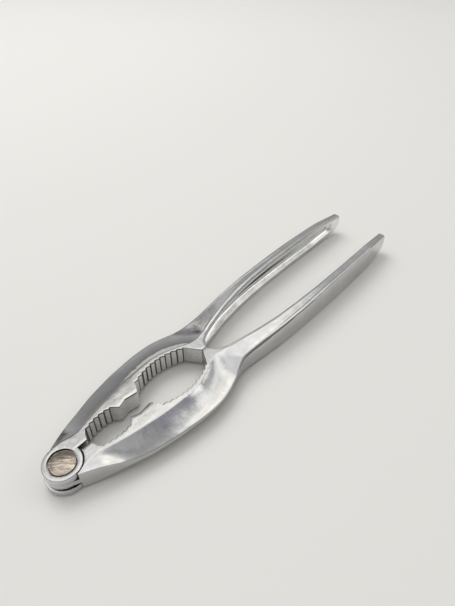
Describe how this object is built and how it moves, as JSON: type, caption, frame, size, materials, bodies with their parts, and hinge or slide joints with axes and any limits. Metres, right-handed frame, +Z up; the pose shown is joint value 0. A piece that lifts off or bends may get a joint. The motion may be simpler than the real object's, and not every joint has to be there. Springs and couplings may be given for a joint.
{
  "type": "nutcracker",
  "caption": "Plier-type hand nutcracker: chromed cast levers hinged at one end by a rivet, with toothed bays in the jaws and channelled handles.",
  "frame": {"origin": "on the pivot axis, in the flat face of the rivet's tail", "axes": "+X from the pivot to the handle ends, +Y towards the forked lever, +Z up along the pivot towards the rivet's domed head"},
  "size_m": [0.1715, 0.0374, 0.0113],
  "materials": {
    "chromed_casting": "bright chrome plate over a zinc casting",
    "nickel_rivet": "brushed, warm nickel tone"
  },
  "bodies": {
    "fork_side": {"fork_lever": "chromed_casting", "pivot_rivet": "nickel_rivet"},
    "tongue_side": {"tongue_lever": "chromed_casting"}
  },
  "joints": [
    {"name": "lever_hinge", "type": "hinge", "parent": "fork_side", "child": "tongue_side", "pos_m": [0, 0, 0.00445], "axis": [0, 0, -1], "range_deg": [0, 165]}
  ]
}
